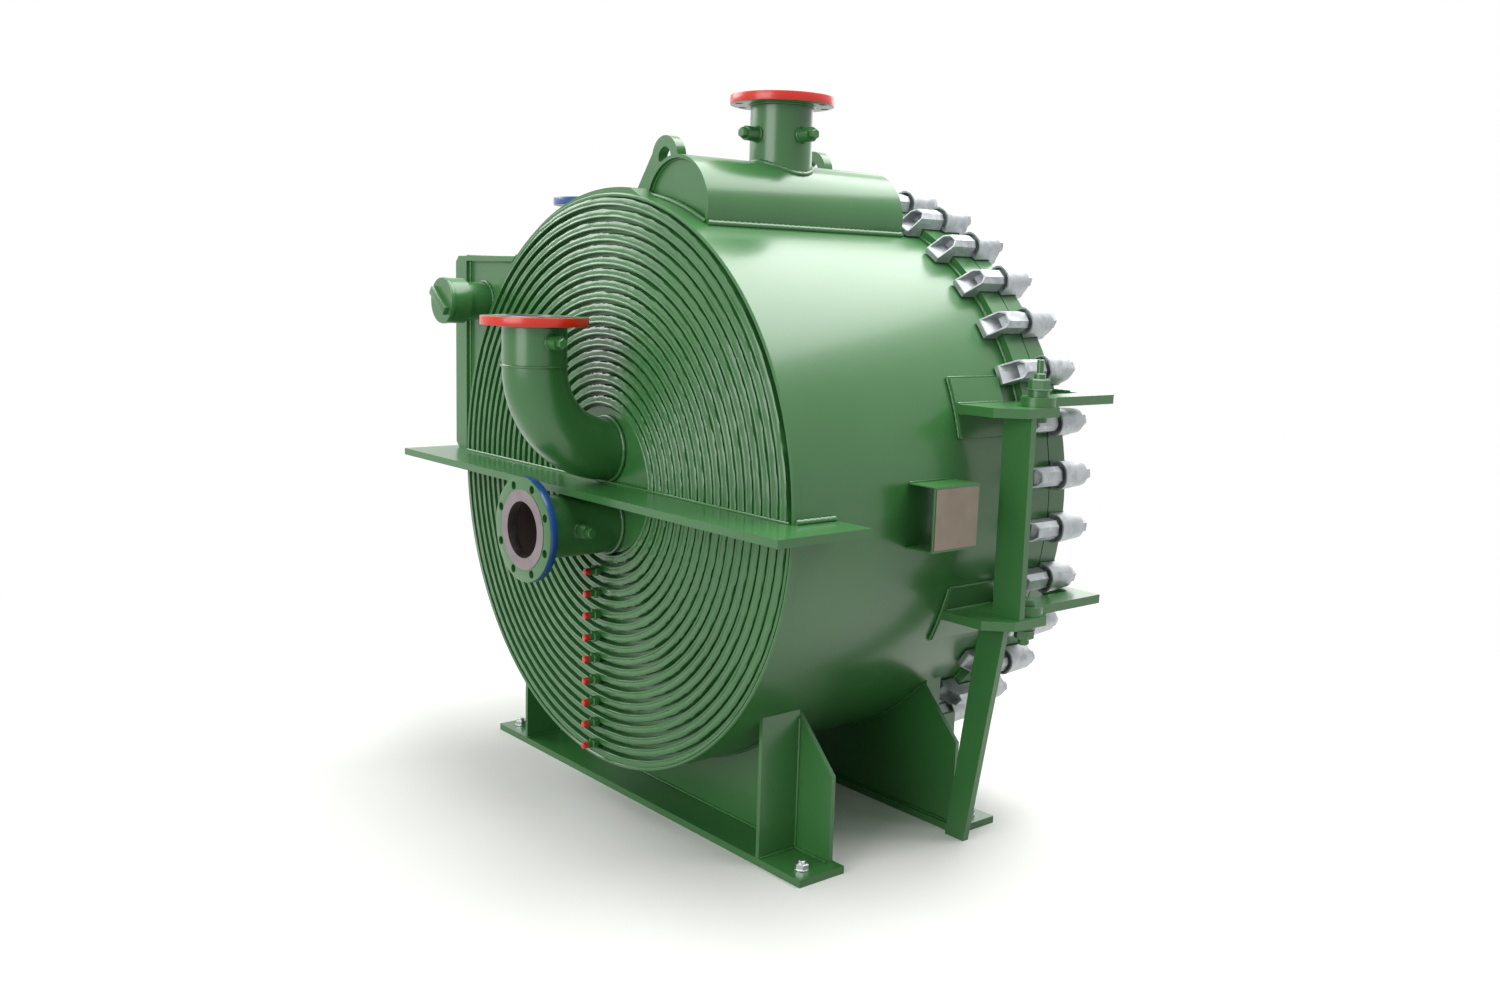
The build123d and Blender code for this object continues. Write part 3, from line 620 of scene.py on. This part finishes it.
def clamp_hook():
    """The rear half: a faceted bar over the flange, cut off aslant and hollow, hooked behind the flange."""
    half, crown, chamfer, wall, hollow, hollow_shares = 26, 46, 13, 4, (5, 42, 0), (0.6, 0.5, 0.8)
    front, slant_from, end, claw, claw_out, claw_in = 430, 352, 304, 358, -8, -21
    aslant = 0.4
    outline = ((CLAMP_SEAT, front), (crown, front), (crown, slant_from), (claw_out, end), (claw_in, end),
               (claw_in, claw), (CLAMP_SEAT, claw))
    hook = outline_face([(RIM + out, y, AXIS - half) for out, y in outline])
    bpy.ops.mesh.extrude_region_move(TRANSFORM_OT_translate={"value": (0, 0, 2 * half * MM)})
    bpy.ops.mesh.select_all(action="SELECT")
    bpy.ops.mesh.normals_make_consistent(inside=False)
    along_crown = (lambda a, b: abs(a.y - b.y) > front - slant_from - 5 and min(a.x, b.x) > RIM + crown - 1)
    soften(hook, along_crown, chamfer, 1)
    pick_faces(hook, lambda centre, normal: normal.x > aslant and normal.y < -aslant)
    bpy.ops.mesh.inset(thickness=wall * MM)
    bpy.ops.mesh.extrude_region_move(TRANSFORM_OT_translate={"value": Vector(hollow) * MM})
    bpy.ops.transform.resize(value=hollow_shares)
    clear()
    return [hook]


def clamps():
    """One clamp's two halves, copied round the rim."""
    lift = Matrix.Translation((0, 0, AXIS_Z))
    for name, parts, body, node in (("clamp_hoods", [clamp_hood()] + clamp_bolt(), "door", "clamp_jaws"),
                                    ("clamp_wedge_hooks", clamp_hook(), "drum", "clamp_hooks")):
        first = one_piece(parts)
        ring = []
        for place in range(CLAMP_COUNT):
            turn = Matrix.Rotation(radians(360 / CLAMP_COUNT * (place + 0.5)), 4, "Y")
            ring.append(copy_of(first, lift @ turn @ lift.inverted()))
        bpy.data.objects.remove(first)
        piece = coat(one_piece(ring), GALVANISED)
        finish_piece(piece, name, body, "galvanised_steel", 30, node)


# Weld beads, each a line of points and a width
BEAD_STEP = 9
SIDES = {"X": (Y, Z), "Y": (X, Z), "Z": (X, Y)}
SHELL_BEAD_R, FILLET_R = 782, 783


def straight(start, end):
    """Points on a straight line."""
    start, end = Vector(start), Vector(end)
    count = max(3, round((end - start).length / BEAD_STEP))
    return [start.lerp(end, step / count) for step in range(count + 1)]


def around(centre, radius, axis, begin=0, finish=360):
    """Points on a circle about an axis through the centre, between two angles in degrees."""
    across, up = SIDES[axis]
    count = max(8, round(radius * radians(finish - begin) / BEAD_STEP))
    angles = [radians(begin + (finish - begin) * step / count) for step in range(count + 1)]
    return [Vector(centre) + radius * (cos(angle) * across + sin(angle) * up) for angle in angles]


def bead(points, width):
    """A weld bead with its ripples. Real ripples are 2 to 4 mm apart, drawn coarser to show."""
    hollow_share = 0.78
    line = bpy.data.curves.new("bead", "CURVE")
    line.dimensions = "3D"
    line.bevel_depth = width / 2 * MM
    line.bevel_resolution = 1
    line.use_fill_caps = True
    run = line.splines.new("POLY")
    run.points.add(len(points) - 1)
    for number, (spot, point) in enumerate(zip(run.points, points)):
        spot.co = (*(Vector(point) * MM), 1)
        spot.radius = 1.0 if number % 2 else hollow_share
    piece = bpy.data.objects.new("bead", line)
    bpy.context.scene.collection.objects.link(piece)
    take(piece)
    bpy.ops.object.convert(target="MESH")
    return bpy.context.active_object


def ring_welds():
    """Beads that run right round, by what they join: centre, radius, axis and width."""
    rings = {
        "hot core pipe": ((0, -457, HOT_Z), 88, "Y", 13),
        "elbow seam": ((0, ELBOW_Y, 1243.6), 84.6, "Z", 9),
        "elbow flange": ((0, ELBOW_Y, 1345), 87, "Z", 8),
        "cold core pipe": ((0, -457, COLD_Z), 88, "Y", 13),
        "cold flange": ((0, -689, COLD_Z), 87, "Y", 8),
        "header flange": ((HEADER_X, HEADER_Y, 1940), 87, "Z", 8),
        "box neck": ((BOX_X, BOX_Y, 1530), 88, "Z", 11),
        "box flange": ((BOX_X, BOX_Y, 1692), 87, "Z", 8),
        "capped branch": ((BOX_X, BOX_Y + NECK_R, BRANCH_Z), 38, "Y", 7),
        "hand hole": ((HAND_HOLE_X, -447, HAND_HOLE_Z), 60, "Y", 10),
        "body flange": ((0, 360, AXIS), FILLET_R, "Y", 12),
    }
    coupling_r, coupling_width = 20, 6
    runs = [(around(centre, radius, axis), width) for centre, radius, axis, width in rings.values()]
    for centre, axis, way in COUPLINGS:
        runs.append((around(Vector(centre) + way * NECK_R, coupling_r, axis), coupling_width))
    return runs


def header_welds():
    """The half pipe's two long sides, its end plate and the saddle-shaped foot of its neck."""
    pipe_r, pipe_z, back, front = 136.5, 1653.5, -398, 290
    end_from, end_to = 64, 83.5
    plate_r, plate_y, plate_z, plate_from, plate_to = 125.5, -387, 1652.8, -13, 161
    foot_bead, side_bead, end_bead, plate_bead = 15, 20, 15, 7
    foot = []
    for point in around((HEADER_X, HEADER_Y, 0), NECK_R + 1, "Z"):
        off = min(NECK_R, abs(point.x - HEADER_X))
        foot.append(Vector((point.x, point.y, pipe_z + sqrt(pipe_r ** 2 - off ** 2))))
    runs = [(foot, foot_bead)]
    for x, z in ((350, 1615.6), (80.8, 1694.3)):
        runs.append((straight((x, back, z), (x, front, z)), side_bead))
    runs.append((around((0, back - 1, AXIS), FILLET_R, "Y", end_from, end_to), end_bead))
    runs.append((around((HEADER_X, plate_y, plate_z), plate_r, "Y", plate_from, plate_to), plate_bead))
    return runs


def box_welds():
    """The outlet box's corners, its seat on the shell and the stitches that hold its ribs."""
    corner_x, corner_z, corner_low, corner_in = -779, 1512, 1062, -503
    back, front, seat_from, seat_to = -458, 283, 131, 169.5
    corner_bead, seat_bead, rib_bead = 9, 10, 8
    rib_count, rib_from, rib_pitch, rib_half, rib_x = 7, -442, 108.5, 8, -796.5
    stitch_count, stitch_from, stitch_pitch, stitch_length = 5, 945, 122, 62
    runs = []
    for y in (-446, 271):
        runs.append((straight((corner_x, y, corner_low), (corner_x, y, corner_z)), corner_bead))
        runs.append((straight((corner_x, y, corner_z), (corner_in, y, corner_z)), corner_bead))
        runs.append((around((0, y, AXIS), SHELL_BEAD_R, "Y", seat_from, seat_to), seat_bead))
    for x, z, start, width in ((-780, 1528.5, back, 7), (-482, 1529, back, 12), (-783, 884, -320, 10)):
        runs.append((straight((x, start, z), (x, front, z)), width))
    for rib in range(rib_count):
        for side in (-rib_half, rib_half):
            y = rib_from + rib_pitch * rib + side
            for stitch in range(stitch_count):
                z = stitch_from + stitch_pitch * stitch
                runs.append((straight((rib_x, y, z), (rib_x, y, z + stitch_length)), rib_bead))
    return runs


def saddle_welds():
    """Each saddle's web on the shell and on its base, and its gussets on both."""
    web_inside, web_outside, base_half, base_z = 222, 238, 700, 22
    web_from, web_to = 223, 317
    gusset_faces, gusset_low, gusset_high, gusset_end = (-582, -566, 566, 582), 24, 372, 358
    web_bead, base_bead, gusset_bead = 10, 9, 8
    runs = []
    for side in (-1, 1):
        for y in (side * web_inside, side * web_outside):
            runs.append((around((0, y, AXIS), SHELL_BEAD_R, "Y", web_from, web_to), web_bead))
            runs.append((straight((-base_half, y, base_z), (base_half, y, base_z)), base_bead))
        y = side * web_outside
        for x in gusset_faces:
            runs.append((straight((x, y, gusset_low), (x, y, gusset_high)), gusset_bead))
            runs.append((straight((x, y + 2 * side, base_z), (x, side * gusset_end, base_z)), gusset_bead))
    return runs


def stiffener_welds():
    """The stiffener plate on the spiral end, and its ears on the shell's side."""
    half, face_y, ear_x, ear_back, ear_front = 770, -463, FILLET_R, -455, -330
    face_bead, ear_bead = 10, 19
    runs = [(straight((-half, face_y, z), (half, face_y, z)), face_bead) for z in (903, 927)]
    runs += [(straight((ear_x, ear_back, z), (ear_x, ear_front, z)), ear_bead) for z in (900, 930)]
    return runs


def hinge_welds():
    """The hinge pads' edges on the shell, and the brackets on the pads."""
    pad_back, pad_front, bracket_back, bracket_front, bracket_r = 112, 294, 114, 292, 794
    pad_bead, bracket_bead = 8, 9
    runs = []
    for low, high, bracket in ((13.4, 25.1, (1158.5, 1183)), (-27.6, -15.7, (616.5, 641))):
        for angle in (low, high):
            x, z = FILLET_R * cos(radians(angle)), AXIS + FILLET_R * sin(radians(angle))
            runs.append((straight((x, pad_back, z), (x, pad_front, z)), pad_bead))
        runs.append((around((0, pad_back - 3, AXIS), FILLET_R + 1, "Y", low, high), pad_bead))
        for z in bracket:
            x = sqrt(bracket_r ** 2 - (z - AXIS) ** 2)
            runs.append((straight((x, bracket_back, z), (x, bracket_front, z)), bracket_bead))
    return runs


def small_welds():
    """The lifting lugs and the nameplate's bracket on the shell."""
    lug_faces, lug_from, lug_to, lug_bead = (-287, -253, 248, 282), 86, 100.4, 9
    bracket_x, bracket_half, bracket_bead = 777, 80, 6
    runs = [(around((0, y, AXIS), SHELL_BEAD_R, "Y", lug_from, lug_to), lug_bead) for y in lug_faces]
    for z in (832, 998):
        runs.append((straight((bracket_x, -bracket_half, z), (bracket_x, bracket_half, z)), bracket_bead))
    return runs


def door_welds():
    """The hinge arms, the grab handle, the two eyes and the drain stub on the door's face."""
    face, arm_face, arm_in, arm_out, arm_half = 502, 501.5, 335, 800, 13
    handle_x, handle_r, eye_half, eye_reach, drain_r = -655, 10, 11, 64, 31
    arm_bead, handle_bead, eye_bead, drain_bead = 8, 5, 7, 7
    runs = []
    for z in (653, 1195):
        for edge in (z - arm_half, z + arm_half):
            runs.append((straight((arm_in, arm_face, edge), (arm_out, arm_face, edge)), arm_bead))
    for z in (848, 1038):
        runs.append((around((handle_x, face, z), handle_r, "Y"), handle_bead))
    for z in (270, 1560):
        for x in (-eye_half, eye_half):
            runs.append((straight((x, face, z - eye_reach), (x, face, z + eye_reach)), eye_bead))
    runs.append((around((0, face, DOOR_DRAIN_Z), drain_r, "Y"), drain_bead))
    return runs


def weld_beads():
    """All the beads of a body are one piece."""
    drum = ring_welds() + header_welds() + box_welds() + saddle_welds()
    drum += stiffener_welds() + hinge_welds() + small_welds()
    for runs, name, body in ((drum, "drum_weld_beads", "drum"), (door_welds(), "door_weld_beads", "door")):
        piece = coat(one_piece([bead(points, width) for points, width in runs]), GREEN)
        finish_piece(piece, name, body, "green_paint", 60)


# Bolts and small fittings
def hex_bolt(spot, way, across, head, washer=0, stud=0, stud_radius=0):
    """A washer, a six-sided nut or head and the end of a stud, one on the other along a direction."""
    washer_share, corner_share, chamfer_share, round_share = 0.62, 0.577, 0.07, 0.2
    washer_sides, stud_sides, below_top = 28, 20, 0.1
    spot = Vector(spot)
    base = spot + way * washer
    top = base + way * head
    parts = []
    if washer:
        ring = bar(across * washer_share, spot, base, washer_sides)
        parts.append(soften(ring, rims(way), washer * round_share, 1))
    nut = bar(across * corner_share, base, top, 6)
    parts.append(soften(nut, beyond(way, top.dot(way) - below_top), across * chamfer_share, 1))
    if stud:
        tip = top + way * stud
        rod = bar(stud_radius, top - way, tip, stud_sides)
        parts.append(soften(rod, beyond(way, tip.dot(way) - below_top), stud_radius * round_share, 1))
    return one_piece(parts)


def anchor_bolts():
    """A bolt in each corner of the two saddle bases."""
    half_x, half_y, base_top = 690, 312, 20
    bolts = []
    for x in (-half_x, half_x):
        for y in (-half_y, half_y):
            bolts.append(hex_bolt((x, y, base_top), Z, across=32, head=14, washer=3, stud=7, stud_radius=10))
    finish_piece(coat(one_piece(bolts), ZINC), "anchor_bolts", "drum", "galvanised_steel", 30)


def hinge_nuts():
    """The pins' heads: a green nut with a stud and a stem above the upper arm, a nut below the lower one."""
    x, y, stem_r, stem_from, stem_to, stem_chamfer = 880, 270, 9, 40, 78, 2
    low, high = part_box("hinge_pins")
    top, bottom = high.z / MM, low.z / MM
    upper = hex_bolt((x, y, top), Z, across=50, head=26, washer=4, stud=14, stud_radius=15)
    stem = bar(stem_r, (x, y, top + stem_from), (x, y, top + stem_to), 16)
    soften(stem, beyond(Z, top + stem_to - 1), stem_chamfer, 1)
    lower = hex_bolt((x, y, bottom), -Z, across=46, head=22, washer=4, stud=16, stud_radius=15)
    finish_piece(coat(one_piece([upper, stem, lower]), GREEN), "hinge_pin_nuts", "drum", "green_paint", 30)


def drain_cock_fittings():
    """Each drain has a hex shoulder, a bleed screw on top and a red plug."""
    count, pitch, cock_r, shoulder_y = 9, 62, 10, -466
    screw_back, screw_up, plug_r, plug_in, plug_out, plug_round = 12, 8, 9.5, 2, 15, 3
    low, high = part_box("drain_cocks")
    tip, x = low.y / MM, (low.x + high.x) / 2 / MM
    greens, reds = [], []
    for turn in range(count):
        z = high.z / MM - cock_r - pitch * turn
        greens.append(hex_bolt((x, shoulder_y, z), -Y, across=26, head=16))
        greens.append(hex_bolt((x, tip + screw_back, z + screw_up), Z, across=8, head=9))
        plug = bar(plug_r, (x, tip + plug_in, z), (x, tip - plug_out, z), 16)
        reds.append(soften(plug, beyond(-Y, plug_out - 1 - tip), plug_round))
    finish_piece(coat(one_piece(greens), GREEN), "drain_cock_shoulders", "drum", "green_paint", 30)
    finish_piece(coat(one_piece(reds), PLUG_RED), "drain_cock_plugs", "drum", "red_paint", 30)


def coupling_plugs():
    """A hex plug in each instrument coupling."""
    mouth = 124
    plugs = [hex_bolt(Vector(centre) + way * mouth, way, across=24, head=16) for centre, _, way in COUPLINGS]
    finish_piece(coat(one_piece(plugs), GREEN), "coupling_plugs", "drum", "green_paint", 30)


def cap(radius, x, y0, y1, z, sides):
    """A cap's rounded rim on the end of a stub."""
    cap_round = 3
    return soften(bar(radius, (x, y0, z), (x, y1, z), sides), rims(Y), cap_round)


def stub_caps():
    """The hand hole's cap with its cross bar, and the caps of the branch and of the door's drain."""
    end, bar_half, bar_up, bar_proud, bar_turn, bar_round = -589, 54, 13, 16, 35, 3
    hand_hole_r, branch_r, drain_r = 69, 41, 33
    x, z = HAND_HOLE_X, HAND_HOLE_Z
    cross = block((x - bar_half, end - bar_proud, z - bar_up), (x + bar_half, end + 1, z + bar_up))
    middle = Matrix.Translation(Vector((x, 0, z)) * MM)
    cross.data.transform(middle @ Matrix.Rotation(radians(bar_turn), 4, "Y") @ middle.inverted())
    soften(cross, beyond(-Y, bar_proud - 1 - end), bar_round)
    hand_hole = cap(hand_hole_r, x, end + 2, end + 16, z, 64)
    branch = cap(branch_r, BOX_X, 57, 81, BRANCH_Z, 48)
    drain = cap(drain_r, 0, 590, 606.5, DOOR_DRAIN_Z, 40)
    finish_piece(coat(one_piece([cross, hand_hole, branch]), GREEN), "stub_caps", "drum", "green_paint", 30)
    finish_piece(coat(drain, GREEN), "door_drain_cap", "door", "green_paint", 30)


# Studio
def seen_rays(tree, path):
    """One for rays that show the background to the eye, straight or in a gloss."""
    return add(tree, "Math", None, {0: path.outputs["Is Camera Ray"], 1: path.outputs["Is Glossy Ray"]},
               operation="MAXIMUM")


def studio_floor():
    """A pale floor that throws little light back and turns white further out."""
    floor_size, white_from, white_to = 60.0, 1.7, 3.8
    bounce, pale = "#8C8C86", "#F1F1EE"
    clear()
    bpy.ops.mesh.primitive_plane_add(size=floor_size)
    floor = bpy.context.active_object
    floor.name = "studio_floor"
    material, tree, shader, place = new_material("pale_studio_floor")
    reach = add(tree, "VectorMath", None, {0: place}, operation="LENGTH")
    fade = add(tree, "MapRange", {"From Min": white_from, "From Max": white_to},
               {"Value": reach.outputs["Value"]})
    seen = seen_rays(tree, add(tree, "LightPath"))
    share = add(tree, "Math", None, {0: fade.outputs["Result"], 1: seen.outputs["Value"]},
                operation="MULTIPLY")
    white = add(tree, "Emission", {"Color": srgb("#FFFFFF"), "Strength": 1.0})
    blend = add(tree, "MixShader", None,
                {0: share.outputs["Value"], 1: shader.outputs["BSDF"], 2: white.outputs["Emission"]})
    tone = add(tree, "Mix", {MIX_A: srgb(bounce), MIX_B: srgb(pale)},
               {MIX_FACTOR: seen.outputs["Value"]}, data_type="RGBA")
    tree.links.new(tone.outputs[MIX_OUT], shader.inputs["Base Color"])
    shader.inputs["Roughness"].default_value = 0.8
    tree.links.new(blend.outputs["Shader"], tree.nodes["Material Output"].inputs["Surface"])
    floor.data.materials.append(material)


def studio_surround():
    """White to the eye and in reflections, and a low plain light on everything else."""
    fill = 0.27
    world = bpy.data.worlds.new("studio_surround")
    bpy.context.scene.world = world
    world.use_nodes = True
    tree = world.node_tree
    path = add(tree, "LightPath")
    seen = seen_rays(tree, path)
    seen = add(tree, "Math", None, {0: seen.outputs["Value"], 1: path.outputs["Is Transmission Ray"]},
               operation="MAXIMUM")
    level = add(tree, "MapRange", {"To Min": fill, "To Max": 1.0}, {"Value": seen.outputs["Value"]})
    surround = tree.nodes["Background"]
    surround.inputs["Color"].default_value = srgb("#FFFFFF")
    tree.links.new(level.outputs["Result"], surround.inputs["Strength"])


def studio_lamps():
    """Four soft lamps: place in metres, size in metres and power in watts."""
    lamps = (("sky_lamp", (0.6, 1.4, 5.4), 5.2, 440), ("spiral_side_lamp", (1.2, -6.2, 2.6), 4.0, 205),
             ("left_lamp", (-4.0, -1.6, 3.8), 3.0, 120), ("door_side_lamp", (-2.6, 6.0, 3.0), 4.0, 60))
    for name, spot, size, watts in lamps:
        light = bpy.data.lights.new(name, "AREA")
        light.size = size
        light.energy = watts
        lamp = bpy.data.objects.new(name, light)
        lamp.location = spot
        aim = Vector((0, 0, AXIS_Z)) - Vector(spot)
        lamp.rotation_euler = aim.to_track_quat("-Z", "Y").to_euler()
        bpy.context.scene.collection.objects.link(lamp)


def photograph_camera():
    """The photograph's view of the spiral end, centred in the frame."""
    focal_px, frame_px, sensor_mm = 1375, 1500, 36
    spot = Vector((3.102, -2.528, 1.472))
    right = Vector((0.6365, 0.7707, 0.0298))
    forward = Vector((-0.7586, 0.6326, -0.1561))
    up = right.cross(forward)
    lens = bpy.data.cameras.new("photograph_camera")
    lens.sensor_width = sensor_mm
    lens.lens = focal_px / frame_px * sensor_mm
    camera = bpy.data.objects.new("photograph_camera", lens)
    turn = Matrix((right, up, -forward)).transposed()
    camera.matrix_world = Matrix.Translation(spot) @ turn.to_4x4()
    bpy.context.scene.collection.objects.link(camera)
    bpy.context.scene.camera = camera


dress_cad_nodes()
spiral_end()
nozzle_flanges()
clamps()
weld_beads()
anchor_bolts()
hinge_nuts()
drain_cock_fittings()
coupling_plugs()
stub_caps()
studio_floor()
studio_surround()
studio_lamps()
photograph_camera()
bpy.context.scene.view_settings.view_transform = "Standard"
